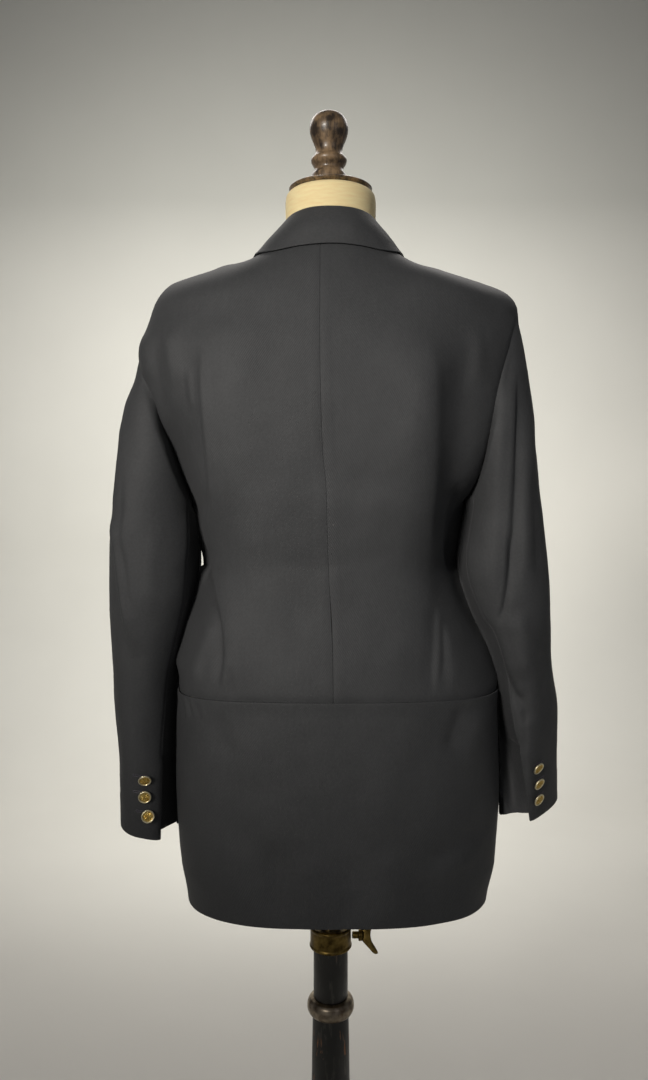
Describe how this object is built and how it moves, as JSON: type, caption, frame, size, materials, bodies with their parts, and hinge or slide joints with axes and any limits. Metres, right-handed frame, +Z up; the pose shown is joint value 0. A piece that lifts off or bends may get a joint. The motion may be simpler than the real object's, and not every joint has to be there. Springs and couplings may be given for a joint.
{
  "type": "women's blazer on a limbless dress form",
  "caption": "Single-breasted wool blazer with a notched collar, two-piece sleeves and buttoned cuffs, resting on an adjustable limbless dress form.",
  "frame": {"origin": "middle of the base's underside, on the floor", "axes": "+Z up; the garment's front faces -Y and the wearer's left is +X"},
  "size_m": [0.5343, 0.4, 1.608],
  "materials": {
    "wool": "charcoal wool, fine weave, slight nap",
    "calico": "stretched unbleached calico",
    "gilt": "polished gilt brass",
    "horn": "dark horn, satin",
    "dark_wood": "dark stained, worn varnish",
    "bronze": "dark aged bronze",
    "steel": "dull steel tube"
  },
  "bodies": {
    "stand": {"base": "dark_wood", "pole_lower": "dark_wood", "pole_ring": "dark_wood", "pole_upper": "dark_wood", "clamp_collar": "bronze"},
    "rod": {"form_rod": "steel"},
    "screw": {"wing_screw": "bronze"},
    "form": {"back_left": "wool", "back_peplum": "wool", "back_right": "wool", "collar_fall": "wool", "collar_stand": "wool", "cuff_button_left_1": "gilt", "cuff_button_left_2": "gilt", "cuff_button_left_3": "gilt", "cuff_button_right_1": "gilt", "cuff_button_right_2": "gilt", "cuff_button_right_3": "gilt", "finial": "dark_wood", "form_torso": "calico", "front_button": "horn", "front_left": "wool", "front_peplum_left": "wool", "front_peplum_right": "wool", "front_right": "wool", "lapel_left": "wool", "lapel_right": "wool", "neck_plate": "dark_wood", "top_sleeve_left": "wool", "top_sleeve_right": "wool", "under_sleeve_left": "wool", "under_sleeve_right": "wool"}
  },
  "joints": [
    {"name": "height_slide", "type": "slide", "parent": "stand", "child": "rod", "axis": [0, 0, 1], "range_m": [-0.08, 0.2]},
    {"name": "form_swivel", "type": "hinge", "parent": "rod", "child": "form", "pos_m": [0, 0, 0.85], "axis": [0, 0, 1], "continuous": true},
    {"name": "wing_screw_turn", "type": "hinge", "parent": "stand", "child": "screw", "pos_m": [-0.03, 0, 0.621], "axis": [1, 0, 0], "range_deg": [0, 360]}
  ]
}
